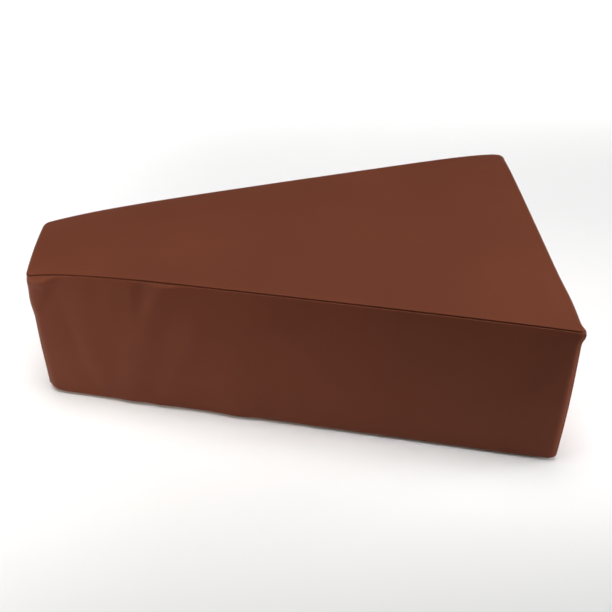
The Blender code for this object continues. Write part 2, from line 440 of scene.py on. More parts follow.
    @staticmethod
    def fold_lift(folds: tuple[Fold, ...], along: np.ndarray, height: np.ndarray) -> np.ndarray:
        """Sum of the folds at places on a boxing.

        Args:
            folds: the boxing's folds.
            along: distances along the boxing from the narrow end.
            height: heights.

        Returns:
            How far the boxing stands out at each place.
        """
        total = np.zeros(len(along))
        for fold in folds:
            run = fold.top_along - fold.end_along
            rise = fold.top_height - fold.end_height
            share = np.clip((height - fold.end_height) / rise, 0.0, 1.0)
            centre = fold.end_along + run * share + fold.bow * 4 * share * (1 - share)
            across = (along - centre) * rise / math.hypot(run, rise)
            width = np.where(across < 0, fold.before, fold.after)
            width = width * (1 + (fold.spread - 1) * (1 - share))
            foot = smooth_step((height - fold.end_height) / fold.foot + 0.5)
            head = smooth_step((fold.top_height - height) / fold.head + 0.5)
            total += fold.lift * foot * head * np.exp(-((across / width) ** 2))
        return total

    @staticmethod
    def swell_lift(swells: tuple[Swell, ...], along: np.ndarray, height: np.ndarray) -> np.ndarray:
        """Sum of the round rises at places on a boxing, as fold_lift gives the folds.

        Args:
            swells: the boxing's rises and hollows.
            along: distances along the boxing from the narrow end.
            height: heights.

        Returns:
            How far the boxing stands out at each place.
        """
        total = np.zeros(len(along))
        for swell in swells:
            off_along = (along - swell.along) / swell.reach_along
            off_up = (height - swell.height) / swell.reach_up
            total += swell.out * np.exp(-(off_along**2) - off_up**2)
        return total

    def seam_share(self, z: np.ndarray) -> np.ndarray:
        """0 at the top and bottom seams, 1 over the middle of the boxing."""
        return smooth_step(np.minimum(z, self.height - z) / self.seam_fade)

    def stand_out(self, x: np.ndarray, y: np.ndarray, z: np.ndarray) -> np.ndarray:
        """How far the boxing stands out from its straight line, folds included.

        Args:
            x: distances along the pad.
            y: distances across it.
            z: heights.

        Returns:
            The distance out for each point.
        """
        share = 2 * z / self.height - 1
        out = self.side_bulge * (1 - share * share)
        beside = self.half_width(x) - np.abs(y) < self.length / 2 - np.abs(x)
        along = (x + self.length / 2) * math.hypot(1.0, self.slope)
        for boxing in Boxing:
            here = beside & (boxing.value * y > 0)
            creased = self.fold_lift(FOLDS[boxing], along, z)
            creased = creased + self.swell_lift(SWELLS[boxing], along, z)
            out += np.where(here, self.seam_share(z) * creased, 0.0)
        return np.where(~beside & (x < 0), out * self.narrow_end_bulge, out)

    def puckered(self, points: np.ndarray) -> np.ndarray:
        """Moves the cover out where it is gathered beside a corner.

        Args:
            points: rows of x, y, z on the cover.

        Returns:
            The moved rows.
        """
        total = np.zeros_like(points)
        for pucker in PUCKERS:
            tip = self.corner_tip(pucker.end, pucker.side)
            middle_y = tip[1] - pucker.side * pucker.inboard
            middle = np.array([tip[0], middle_y, self.height - pucker.drop])
            gap = np.linalg.norm(points - middle, axis=1)
            out = np.array([pucker.end * pucker.out_end, pucker.side * pucker.out_side, 0.0])
            total += np.exp(-((gap / pucker.reach) ** 2))[:, None] * out
        return points + total

    def seam_gap(self, block: np.ndarray) -> np.ndarray:
        """Distance over the skin from each point to its nearest seam.

        Args:
            block: rows of x, y, z on the straight block's skin.

        Returns:
            One distance a row.
        """
        x, z = block[:, 0], block[:, 2]
        y = self.widen(x, block[:, 1])
        from_end = self.length / 2 - np.abs(x)
        from_side = self.half_width(x) - np.abs(y)
        from_edge = np.minimum(from_end, from_side)
        gap = np.maximum(from_edge, np.minimum(z, self.height - z))
        upright = np.where((x > 0) & (from_edge < TOUCH), np.maximum(from_end, from_side), 1.0)
        return np.minimum(gap, upright)

    def formed(self, block: np.ndarray) -> np.ndarray:
        """Where points on the skin of the straight block end up on the cover.

        Args:
            block: rows of x, y, z on the straight block's skin.

        Returns:
            Rows of x, y, z on the cover.
        """
        x, z = block[:, 0], block[:, 2]
        y = self.widen(x, block[:, 1])
        from_end = self.length / 2 - np.abs(x)
        from_side = self.half_width(x) - np.abs(y)
        from_edge = np.minimum(from_end, from_side)
        plan, inward = self.plan(x, y, z)
        on_boxing = from_edge < TOUCH

        from_seam = np.minimum(z, self.height - z)
        roll = np.where(z > self.height / 2, self.top_roll, self.bottom_roll)
        rolled_in, rolled_down = self.round_off(from_edge, from_seam, roll)
        gap = np.maximum(from_edge, from_seam)
        drawn = self.seam_depth * np.exp(-((gap / self.seam_reach) ** 2))
        move_in = rolled_in - from_edge + drawn
        down = rolled_down + drawn
        move_in -= np.where(on_boxing, self.stand_out(x, y, z), 0.0)
        upright = np.maximum(from_end, from_side)
        pulled = self.seam_depth * np.exp(-((upright / self.seam_reach) ** 2)) * self.seam_share(z)
        move_in += np.where(on_boxing & (x > 0), pulled, 0.0)
        height = np.where(z > self.height / 2, self.height - down, down)

        height = height * (1 - self.sag(plan) / self.height) + self.lift(plan, z, from_edge)
        height += np.where(z > self.height - TOUCH, self.crown(plan), 0.0)
        plan = plan + inward * move_in[:, None]
        points = np.column_stack([plan, height])
        points[:, 0] += self.lean(points)
        return self.puckered(points)


@dataclass
class BlockSkin:
    """Skin of a straight block as a grid of quads, with fine rows beside its edges.

    Args:
        form: the pad's sizes.
        rows: distances in from each edge of the rows beside it.
        end_rows: further rows in from the two ends.
        pitch: spacing of the rest along the pad and up it.
        across: number of columns between the rows beside the two sides.
    """

    form: PadForm
    rows: tuple[float, ...] = (0.0008, 0.0016, 0.0026, 0.0040, 0.0062, 0.0090, 0.0130)
    end_rows: tuple[float, ...] = (0.0175, 0.0225)
    pitch: float = 0.0056
    across: int = 28
    places: list[np.ndarray] = field(default_factory=list)

    def __post_init__(self) -> None:
        """Works out the grid's places along each axis."""
        half = self.form.length / 2
        side = self.form.narrow_width / 2
        ends = self.rows + self.end_rows
        self.places = [
            self.graded(-half, half, ends, self.pitch),
            self.graded(-side, side, self.rows, (2 * side - 2 * self.rows[-1]) / self.across),
            self.graded(0.0, self.form.height, self.rows, self.pitch),
        ]

    @staticmethod
    def graded(low: float, high: float, rows: tuple[float, ...], pitch: float) -> np.ndarray:
        """Places from low to high, with rows in from both and even steps between.

        Args:
            low: the first place.
            high: the last place.
            rows: distances in from both.
            pitch: about the step between the innermost rows.

        Returns:
            The places in order.
        """
        inner = high - low - 2 * rows[-1]
        even = np.linspace(low + rows[-1], high - rows[-1], round(inner / pitch) + 1)
        before = [low] + [low + row for row in rows[:-1]]
        after = [high - row for row in reversed(rows[:-1])] + [high]
        return np.array(before + list(even) + after)

    @staticmethod
    def halved(places: np.ndarray) -> np.ndarray:
        """The same places with one more between each two.

        Args:
            places: places in order.

        Returns:
            The finer row of places.
        """
        out = np.empty(2 * len(places) - 1)
        out[::2] = places
        out[1::2] = (places[:-1] + places[1:]) / 2
        return out

    @staticmethod
    def numbered(counts: tuple[int, int, int]) -> np.ndarray:
        """A number for each grid point on the skin, -1 inside it.

        Args:
            counts: the grid's size along each axis.

        Returns:
            The grid of numbers.
        """
        skin = np.ones(counts, bool)
        skin[1:-1, 1:-1, 1:-1] = False
        numbers = np.full(counts, -1)
        numbers[skin] = np.arange(skin.sum())
        return numbers

    @staticmethod
    def points(places: list[np.ndarray]) -> np.ndarray:
        """Rows of x, y, z of the skin's points, in number order.

        Args:
            places: the grid's places along each axis.

        Returns:
            One row a point.
        """
        numbers = BlockSkin.numbered(tuple(len(p) for p in places))
        i, j, k = np.nonzero(numbers >= 0)
        return np.column_stack([places[0][i], places[1][j], places[2][k]])

    @staticmethod
    def quads(numbers: np.ndarray) -> np.ndarray:
        """Faces of the skin, each pointing out.

        Args:
            numbers: the grid of point numbers.

        Returns:
            Four point numbers a row.
        """
        sheets = (
            (numbers[:, :, 0], False),
            (numbers[:, :, -1], True),
            (numbers[:, 0, :], True),
            (numbers[:, -1, :], False),
            (numbers[0, :, :], False),
            (numbers[-1, :, :], True),
        )
        out = []
        for sheet, turned in sheets:
            a, b = sheet[:-1, :-1], sheet[:-1, 1:]
            c, d = sheet[1:, 1:], sheet[1:, :-1]
            loops = (a, d, c, b) if turned else (a, b, c, d)
            out.append(np.stack([n.ravel() for n in loops], axis=1))
        return np.concatenate(out)

    @staticmethod
    def spread(values: np.ndarray, counts: tuple[int, int, int]) -> np.ndarray:
        """Values of a coarse skin's points brought onto the halved grid, by averages.

        Args:
            values: one row for each coarse point.
            counts: the coarse grid's size.

        Returns:
            One row for each point of the halved grid's skin.
        """
        coarse = BlockSkin.numbered(counts)
        fine = BlockSkin.numbered(tuple(2 * n - 1 for n in counts))
        at = np.nonzero(fine >= 0)
        total = np.zeros((len(at[0]), values.shape[1]))
        for step in range(8):
            picks = [(n + (step >> axis & 1)) // 2 for axis, n in enumerate(at)]
            total += values[coarse[tuple(picks)]]
        return total / 8


@dataclass(frozen=True)
class ClothSettings:
    """How the cover is settled as cloth.

    Args:
        frames: steps of the simulation.
        pressure: push of the foam on the cover.
        start_inset: how much smaller the cover starts than the solid.
        cap: the furthest that a point may move.
        held: distance from a seam over which the cloth is let go.
        smoothing: passes that take the grid's step out of the movement.
    """

    frames: int = 20
    pressure: float = 4.0
    start_inset: float = 0.0010
    cap: float = 0.0006
    held: float = 0.016
    smoothing: int = 6


# How the vinyl answers to stretching, squeezing, shearing and bending in the simulation
VINYL_CLOTH = {
    "quality": 5,
    "mass": 0.3,
    "tension_stiffness": 15,
    "compression_stiffness": 15,
    "shear_stiffness": 8,
    "bending_stiffness": 0.8,
}


def linked(name: str, data: bpy.types.ID) -> bpy.types.Object:
    """A new object with the data, linked to the scene.

    Args:
        name: the object's name.
        data: its mesh, light or camera.

    Returns:
        The object.
    """
    obj = bpy.data.objects.new(name, data)
    bpy.context.scene.collection.objects.link(obj)
    return obj


def mesh_object(name: str, points: np.ndarray, faces: np.ndarray) -> bpy.types.Object:
    """A new mesh object at the origin.

    Args:
        name: the object's name.
        points: rows of x, y, z.
        faces: point numbers, one row a face.

    Returns:
        The object, linked to the scene.
    """
    mesh = bpy.data.meshes.new(name)
    mesh.from_pydata(points.tolist(), [], faces.tolist())
    mesh.validate()
    return linked(name, mesh)


def smoothed(values: np.ndarray, faces: np.ndarray, passes: int) -> np.ndarray:
    """Values on a mesh's points, each drawn toward its neighbours' average.

    Args:
        values: one row a point.
        faces: point numbers, four a row.
        passes: how many times.

    Returns:
        The smoothed rows.
    """
    ends = np.concatenate([faces[:, [n, (n + 1) % 4]] for n in range(4)])
    count = np.bincount(ends[:, 0], minlength=len(values))[:, None]
    for _ in range(passes):
        sums = [np.bincount(ends[:, 0], values[ends[:, 1], axis], len(values)) for axis in range(3)]
        around = np.stack(sums, axis=1)
        values = (values + around / count) / 2
    return values


class ClothCover:
    """The sewn cover round its block: creased, drawn in at its seams and eased as cloth."""

    def __init__(self, form: PadForm, cloth: ClothSettings) -> None:
        """Takes the pad's sizes and the cloth's.

        Args:
            form: the pad's sizes.
            cloth: how the cover is settled.
        """
        self.form = form
        self.cloth = cloth
        self.skin = BlockSkin(form)

    def settle(self) -> np.ndarray:
        """How far each point of the coarse skin moves under pressure, held at the seams.

        Returns:
            One row of x, y, z a point of the coarse skin.
        """
        places = self.skin.places
        counts = tuple(len(p) for p in places)
        block = BlockSkin.points(places)
        faces = BlockSkin.quads(BlockSkin.numbered(counts))
        start = self.form.formed(block)
        centre = np.array([0.0, 0.0, self.form.height / 2])
        half = np.array([self.form.length, self.form.wide_width, self.form.height]) / 2
        start = centre + (start - centre) * (1 - self.cloth.start_inset / half)
        obj = mesh_object("cover_cloth", start, faces)
        gap = self.form.seam_gap(block)
        hold = np.clip(1 - gap / self.cloth.held, 0.0, 1.0) ** 2
        hold[block[:, 2] < TOUCH] = 1.0
        group = obj.vertex_groups.new(name="held")
        for index, weight in enumerate(hold.tolist()):
            group.add([index], weight, "REPLACE")
        cloth = obj.modifiers.new("cloth", "CLOTH")
        settings = cloth.settings
        for name, value in VINYL_CLOTH.items():
            setattr(settings, name, value)
        settings.use_pressure = True
        settings.uniform_pressure_force = self.cloth.pressure
        settings.vertex_group_mass = "held"
        settings.effector_weights.gravity = 0.0
        cloth.collision_settings.use_collision = False
        cloth.point_cache.frame_start = 1
        cloth.point_cache.frame_end = self.cloth.frames
        scene = bpy.context.scene
        for step in range(1, self.cloth.frames + 1):
            scene.frame_set(step)
        settled = obj.evaluated_get(bpy.context.evaluated_depsgraph_get()).to_mesh()
        places_now = np.empty(len(block) * 3, np.float32)
        settled.vertices.foreach_get("co", places_now)
        scene.frame_set(1)
        bpy.data.objects.remove(obj)
        move = places_now.reshape(-1, 3).astype(float) - start
        far = np.linalg.norm(move, axis=1)[:, None]
        log.info("cloth moved up to %.1f mm", far.max() / MM)
        capped = self.cloth.cap * np.tanh(far / self.cloth.cap)
        return move * capped / np.maximum(far, 1e-9)

    def centred(self, points: np.ndarray) -> np.ndarray:
        """Points moved so that the cover rests at zero over the solid's middle.

        Args:
            points: rows of x, y, z on the cover.

        Returns:
            The moved rows.
        """
        low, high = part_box(NODE)
        shift = [(low[axis] + high[axis]) / 2 for axis in range(2)]
        reach = [(points[:, axis].min() + points[:, axis].max()) / 2 for axis in range(2)]
        return points + np.array([shift[0] - reach[0], shift[1] - reach[1], -points[:, 2].min()])

    def build(self) -> bpy.types.Object:
        """Makes the cover's fine mesh.

        Returns:
            The cover, with its distance from the seams as an attribute.
        """
        counts = tuple(len(p) for p in self.skin.places)
        fine = [BlockSkin.halved(p) for p in self.skin.places]
        block = BlockSkin.points(fine)
        numbers = BlockSkin.numbered(tuple(len(p) for p in fine))
        faces = BlockSkin.quads(numbers)
        move = BlockSkin.spread(self.settle(), counts)
        move = smoothed(move, faces, self.cloth.smoothing)
        gap = self.form.seam_gap(block)
        move *= (1 - np.exp(-((gap / self.cloth.held) ** 2)))[:, None]
        move[block[:, 2] < TOUCH] = 0.0
        points = self.form.formed(block) + move
        points = self.centred(points)
        cover = mesh_object("pad_cover", points, faces)
        cover.data.shade_smooth()
        near = cover.data.attributes.new("seam_gap", "FLOAT", "POINT")
        near.data.foreach_set("value", gap.astype(np.float32))
        self.seam_points = points
        self.seam_edges = self.find_seams(fine, numbers)
        return cover

    def find_seams(self, places: list[np.ndarray], numbers: np.ndarray) -> np.ndarray:
        """The skin's edges that lie on a seam.

        Args:
            places: the fine grid's places along each axis.
            numbers: the fine grid of point numbers.

        Returns:
            Two point numbers a row.
        """
        rims = []
        for level in (0, -1):
            flat = numbers[:, :, level]
            rims += [flat[:, 0], flat[:, -1], flat[0, :], flat[-1, :]]
        rims += [numbers[-1, 0, :], numbers[-1, -1, :]]
        return np.concatenate([np.stack([rim[:-1], rim[1:]], axis=1) for rim in rims])


@dataclass
class SeamSewing:
    """Stitches along the bottom of the seam valleys, laid by a node tree.

    Args:
        pitch: distance between stitches.
        stitch: length of one stitch.
        thread_radius: half the thread's thickness.
        smallest: size of the smallest stitch, as a share.
        largest: size of the largest stitch, as a share.
        seed: seed of the stitches' small unevenness.
    """

    pitch: float = 0.0036
    stitch: float = 0.0029
    thread_radius: float = 0.00032
    smallest: float = 0.90
    largest: float = 1.06
    seed: int = 7

    def tree(self, material: bpy.types.Material) -> bpy.types.GeometryNodeTree:
        """The node tree that lays a stitch at every step of the seam lines.

        Args:
            material: the thread's material.

        Returns:
            The tree, with its sizes as named inputs.
        """
        tree = bpy.data.node_groups.new("sew along seams", "GeometryNodeTree")
        face = tree.interface
        face.new_socket("Seam Lines", in_out="INPUT", socket_type="NodeSocketGeometry")
        for name, value in (
            ("Stitch Pitch", self.pitch),
            ("Stitch Length", self.stitch),
            ("Thread Radius", self.thread_radius),
        ):
            socket = face.new_socket(name, in_out="INPUT", socket_type="NodeSocketFloat")
            socket.default_value = value
        socket = face.new_socket("Seed", in_out="INPUT", socket_type="NodeSocketInt")
        socket.default_value = self.seed
        face.new_socket("Stitches", in_out="OUTPUT", socket_type="NodeSocketGeometry")

        sheet = NodeSheet(tree)
        given = sheet.add("NodeGroupInput")
        result = sheet.add("NodeGroupOutput")
        line = sheet.add("GeometryNodeMeshToCurve")
        steps = sheet.add("GeometryNodeResampleCurve", mode="LENGTH")
        ball = sheet.add("GeometryNodeMeshUVSphere", {"Segments": 6, "Rings": 5, "Radius": 1.0})
        half = sheet.add("ShaderNodeMath", {1: 0.5}, operation="MULTIPLY")
        shape = sheet.add("ShaderNodeCombineXYZ")
        thread = sheet.add("GeometryNodeTransform")
        tangent = sheet.add("GeometryNodeInputTangent")
        turn = sheet.add("FunctionNodeAlignRotationToVector", axis="Z")
        range_of_sizes = {2: self.smallest, 3: self.largest}
        uneven = sheet.add("FunctionNodeRandomValue", range_of_sizes, data_type="FLOAT")
        lay = sheet.add("GeometryNodeInstanceOnPoints")
        real = sheet.add("GeometryNodeRealizeInstances")
        paint = sheet.add("GeometryNodeSetMaterial", {"Material": material})

        for source, target in (
            (given.outputs["Seam Lines"], line.inputs["Mesh"]),
            (line.outputs["Curve"], steps.inputs["Curve"]),
            (given.outputs["Stitch Pitch"], steps.inputs["Length"]),
            (given.outputs["Stitch Length"], half.inputs[0]),
            (given.outputs["Thread Radius"], shape.inputs["X"]),
            (given.outputs["Thread Radius"], shape.inputs["Y"]),
            (half.outputs[0], shape.inputs["Z"]),
            (ball.outputs["Mesh"], thread.inputs["Geometry"]),
            (shape.outputs["Vector"], thread.inputs["Scale"]),
            (given.outputs["Seed"], uneven.inputs["Seed"]),
            (tangent.outputs["Tangent"], turn.inputs["Vector"]),
            (steps.outputs["Curve"], lay.inputs["Points"]),
            (thread.outputs["Geometry"], lay.inputs["Instance"]),
            (turn.outputs["Rotation"], lay.inputs["Rotation"]),
            (uneven.outputs[1], lay.inputs["Scale"]),
            (lay.outputs["Instances"], real.inputs["Geometry"]),
            (real.outputs["Geometry"], paint.inputs["Geometry"]),
            (paint.outputs["Geometry"], result.inputs["Stitches"]),
        ):
            sheet.join(source, target)
        return tree

    def build(self, cover: ClothCover, material: bpy.types.Material) -> bpy.types.Object:
        """Sews the cover.

        Args:
            cover: the built cover, whose seam lines are followed.
            material: the thread's material.

        Returns:
            The stitches as one plain mesh.
        """
        mesh = bpy.data.meshes.new("seam_lines")
        used, numbers = np.unique(cover.seam_edges, return_inverse=True)
        points = cover.seam_points[used]
        mesh.from_pydata(points.tolist(), numbers.reshape(-1, 2).tolist(), [])
        lines = linked("seam_lines", mesh)
        sewing = lines.modifiers.new("sewing", "NODES")
        tree = self.tree(material)
        sewing.node_group = tree
        values = {"Stitch Pitch": self.pitch, "Stitch Length": self.stitch}
        values |= {"Thread Radius": self.thread_radius, "Seed": self.seed}
        for item in tree.interface.items_tree:
            if item.name in values:
                sewing[item.identifier] = values[item.name]
        graph = bpy.context.evaluated_depsgraph_get()
        plain = bpy.data.meshes.new_from_object(lines.evaluated_get(graph))
        bpy.data.objects.remove(lines)
        stitches = linked("seam_stitches", plain)
        stitches.data.shade_smooth()
        return stitches


class NodeSheet:
    """A node tree under construction, with short ways to add nodes and links."""

    def __init__(self, tree: bpy.types.NodeTree) -> None:
        """Takes the tree to add to."""
        self.tree = tree

    def add(self, kind: str, sockets: dict | None = None, **values: object) -> bpy.types.Node:
        """Adds a node and sets its own properties and the values of its inputs.

        Args:
            kind: the node's type.
            sockets: input values, by the input's name or number.
            values: properties by name.

        Returns:
            The node.
        """
        node = self.tree.nodes.new(kind)
        for name, value in values.items():
            setattr(node, name, value)
        for key, value in (sockets or {}).items():
            node.inputs[key].default_value = value
        return node

    def join(self, source: bpy.types.NodeSocket, target: bpy.types.NodeSocket) -> None:
        """Links one socket to another."""
        self.tree.links.new(source, target)

    def math(self, operation: str, first: object, second: object = 0.0) -> bpy.types.NodeSocket:
        """A math node on two sockets or numbers.

        Args:
            operation: the node's operation.
            first: a socket or a number.
            second: a socket or a number.

        Returns:
            The result's socket.
        """
        node = self.add("ShaderNodeMath", operation=operation)
        for index, value in enumerate((first, second)):
            if isinstance(value, bpy.types.NodeSocket):
                self.join(value, node.inputs[index])
            else:
                node.inputs[index].default_value = value
        return node.outputs[0]


def shader_group(
    name: str, inputs: dict[str, tuple[str, object]], outputs: dict[str, str]
) -> tuple[NodeSheet, bpy.types.Node, bpy.types.Node]:
    """An empty shader group with named sockets.

    Args:
        name: the group's name.
        inputs: socket type and default value by name.
        outputs: socket type by name.

    Returns:
        The sheet to build on, the input node and the output node.
    """
    tree = bpy.data.node_groups.new(name, "ShaderNodeTree")
    for label, (kind, value) in inputs.items():
        socket = tree.interface.new_socket(label, in_out="INPUT", socket_type=kind)
        if value is not None:
            socket.default_value = value
    for label, kind in outputs.items():
        tree.interface.new_socket(label, in_out="OUTPUT", socket_type=kind)
    sheet = NodeSheet(tree)
    return sheet, sheet.add("NodeGroupInput"), sheet.add("NodeGroupOutput")


def grain_group() -> bpy.types.NodeTree:
    """Embossed vinyl grain: shallow pebbles with finer wrinkles over them.

    Returns:
        A group with the grain's height and a mask of its pits.
    """
    sheet, given, result = shader_group(
        "embossed grain",
        {"Vector": ("NodeSocketVector", None), "Cells": ("NodeSocketFloat", 1100.0)},
        {"Height": "NodeSocketFloat", "Pits": "NodeSocketFloat"},
    )
    warp = sheet.add("ShaderNodeTexNoise", {"Scale": 420.0, "Detail": 2.0})
    push = {1: (0.0009, 0.0009, 0.0009)}
    bend = sheet.add("ShaderNodeVectorMath", push, operation="MULTIPLY_ADD")
    cells = sheet.add("ShaderNodeTexVoronoi", {"Smoothness": 0.55}, feature="SMOOTH_F1")
    fine = sheet.add("ShaderNodeTexNoise", {"Scale": 2600.0, "Detail": 3.0})
    sheet.join(given.outputs["Vector"], warp.inputs["Vector"])
    sheet.join(warp.outputs["Color"], bend.inputs[0])
    sheet.join(given.outputs["Vector"], bend.inputs[2])
    sheet.join(bend.outputs["Vector"], cells.inputs["Vector"])
    sheet.join(given.outputs["Cells"], cells.inputs["Scale"])
    sheet.join(given.outputs["Vector"], fine.inputs["Vector"])
    pebble = sheet.math("SUBTRACT", 1.0, cells.outputs["Distance"])
    height = sheet.math("ADD", pebble, sheet.math("MULTIPLY", fine.outputs["Fac"], 0.35))
    sheet.join(height, result.inputs["Height"])
    sheet.join(sheet.math("SMOOTH_MAX", cells.outputs["Distance"], 0.0), result.inputs["Pits"])
    return sheet.tree


def drift_group() -> bpy.types.NodeTree:
    """Slow uneven change of a colour over a surface.

    Returns:
        A group that puts out the drifted colour and the drift itself.
    """
    sheet, given, result = shader_group(
        "colour drift",
        {
            "Vector": ("NodeSocketVector", None),
            "Scale": ("NodeSocketFloat", 9.0),
            "Light": ("NodeSocketColor", (0.2, 0.1, 0.1, 1.0)),
            "Dark": ("NodeSocketColor", (0.1, 0.05, 0.05, 1.0)),
        },
        {"Color": "NodeSocketColor", "Drift": "NodeSocketFloat"},
    )
    slow = sheet.add("ShaderNodeTexNoise", {"Detail": 3.0, "Roughness": 0.55})
    blend = sheet.add("ShaderNodeMix", data_type="RGBA")
    limits = {"From Min": 0.3, "From Max": 0.7}
    ramp = sheet.add("ShaderNodeMapRange", limits, interpolation_type="SMOOTHSTEP")
    sheet.join(given.outputs["Vector"], slow.inputs["Vector"])
    sheet.join(given.outputs["Scale"], slow.inputs["Scale"])
    sheet.join(slow.outputs["Fac"], ramp.inputs["Value"])
    sheet.join(ramp.outputs["Result"], blend.inputs[0])
    sheet.join(given.outputs["Dark"], blend.inputs[6])
    sheet.join(given.outputs["Light"], blend.inputs[7])
    sheet.join(blend.outputs[2], result.inputs["Color"])
    sheet.join(ramp.outputs["Result"], result.inputs["Drift"])
    return sheet.tree


def rub_group() -> bpy.types.NodeTree:
    """Where handling has polished the rolled edges beside a seam, in broken patches.

    Returns:
        A group that puts out a mask of the rub and a mask of the seam's own valley.
    """
    sheet, given, result = shader_group(
        "edge rub",
        {
            "Vector": ("NodeSocketVector", None),
            "Gap": ("NodeSocketFloat", 0.1),
            "Roll": ("NodeSocketFloat", 0.005),
            "Valley": ("NodeSocketFloat", 0.0012),
        },
        {"Rub": "NodeSocketFloat", "Valley": "NodeSocketFloat"},
    )
    patches = sheet.add("ShaderNodeTexNoise", {"Scale": 55.0, "Detail": 4.0})
    sheet.join(given.outputs["Vector"], patches.inputs["Vector"])
    share = sheet.math("DIVIDE", given.outputs["Gap"], given.outputs["Roll"])
    off = sheet.math("ABSOLUTE", sheet.math("SUBTRACT", share, 0.55))
    band = sheet.math("SUBTRACT", 1.0, sheet.math("MINIMUM", sheet.math("MULTIPLY", off, 1.8), 1.0))
    broken = sheet.math("MULTIPLY", band, patches.outputs["Fac"])
    sheet.join(broken, result.inputs["Rub"])
    deep = sheet.math("DIVIDE", given.outputs["Gap"], given.outputs["Valley"])
    valley = sheet.math("SUBTRACT", 1.0, sheet.math("MINIMUM", deep, 1.0))
    sheet.join(valley, result.inputs["Valley"])
    return sheet.tree


def new_material(name: str) -> tuple[bpy.types.Material, NodeSheet, bpy.types.Node, bpy.types.Node]:
    """A material with its own shader and a source of object coordinates.

    Args:
        name: the material's name.

    Returns:
        The material, the sheet to build on, its shader and its coordinates node.
    """
    material = bpy.data.materials.new(name)
    material.use_nodes = True
    sheet = NodeSheet(material.node_tree)
    shader = material.node_tree.nodes["Principled BSDF"]
    return material, sheet, shader, sheet.add("ShaderNodeTexCoord")


@dataclass(frozen=True)
class VinylFinish:
    """Satin brown vinyl-coated fabric.

    Args:
        light: the vinyl's lighter tone.
        dark: its darker tone.
        rubbed: tone of the polished edges.
        roughness: roughness of the plain face.
        specular: strength of the surface gloss.
        gloss_tint: colour of the gloss seen straight on.
        rub_share: how far the polished edges take on their own tone.
        painted_valley_shade: painted shade, what the base colour in the seam's valley is multiplied by.
        pit_rough: roughness added in the grain's pits.
        rub_gloss: roughness that the polish takes off.
        valley_rough: roughness added in the seam's valley.
        grain_strength: share of the grain's relief that shows.
        grain_depth: height of that relief.
    """

    light: tuple[float, float, float, float] = (0.131, 0.0385, 0.0209, 1.0)
    dark: tuple[float, float, float, float] = (0.119, 0.0351, 0.0191, 1.0)
    rubbed: tuple[float, float, float, float] = (0.150, 0.0430, 0.0232, 1.0)
    roughness: float = 0.46
    specular: float = 0.10
    gloss_tint: tuple[float, float, float, float] = (1.0, 0.42, 0.27, 1.0)
    rub_share: float = 0.45
    painted_valley_shade: tuple[float, float, float, float] = (0.56, 0.50, 0.48, 1.0)
    pit_rough: float = 0.10
    rub_gloss: float = 0.10
    valley_rough: float = 0.30
    grain_strength: float = 0.22
    grain_depth: float = 0.00008

    def build(self, groups: dict[str, bpy.types.NodeTree]) -> bpy.types.Material:
        """Makes the material.

        Args:
            groups: the shared shader groups by name.

        Returns:
            The vinyl.
        """
        material, sheet, shader, where = new_material("brown vinyl")
        seam = sheet.add("ShaderNodeAttribute", attribute_name="seam_gap")
        grain = sheet.add("ShaderNodeGroup", node_tree=groups["grain"])
        tones = {"Light": self.light, "Dark": self.dark}
        drift = sheet.add("ShaderNodeGroup", tones, node_tree=groups["drift"])
        rub = sheet.add("ShaderNodeGroup", node_tree=groups["rub"])
        for group in (grain, drift, rub):
            sheet.join(where.outputs["Object"], group.inputs["Vector"])
        sheet.join(seam.outputs["Fac"], rub.inputs["Gap"])
        worn = sheet.add("ShaderNodeMix", {7: self.rubbed}, data_type="RGBA")
        sheet.join(sheet.math("MULTIPLY", rub.outputs["Rub"], self.rub_share), worn.inputs[0])
        sheet.join(drift.outputs["Color"], worn.inputs[6])
        # Painted shade: the base colour is darkened in the seam's valley, where shade falls.
        valley = {7: self.painted_valley_shade}
        shade = sheet.add("ShaderNodeMix", valley, data_type="RGBA", blend_type="MULTIPLY")
        sheet.join(rub.outputs["Valley"], shade.inputs[0])
        sheet.join(worn.outputs[2], shade.inputs[6])
        sheet.join(shade.outputs[2], shader.inputs["Base Color"])
        rough = self.roughness
        for operation, mask, share in (
            ("ADD", grain.outputs["Pits"], self.pit_rough),
            ("SUBTRACT", rub.outputs["Rub"], self.rub_gloss),
            ("ADD", rub.outputs["Valley"], self.valley_rough),
        ):
            rough = sheet.math(operation, rough, sheet.math("MULTIPLY", mask, share))
        sheet.join(rough, shader.inputs["Roughness"])
        shader.inputs["Specular IOR Level"].default_value = self.specular
        shader.inputs["Specular Tint"].default_value = self.gloss_tint
        relief = {"Strength": self.grain_strength, "Distance": self.grain_depth}
        bump = sheet.add("ShaderNodeBump", relief)
        sheet.join(grain.outputs["Height"], bump.inputs["Height"])
        sheet.join(bump.outputs["Normal"], shader.inputs["Normal"])
        return material


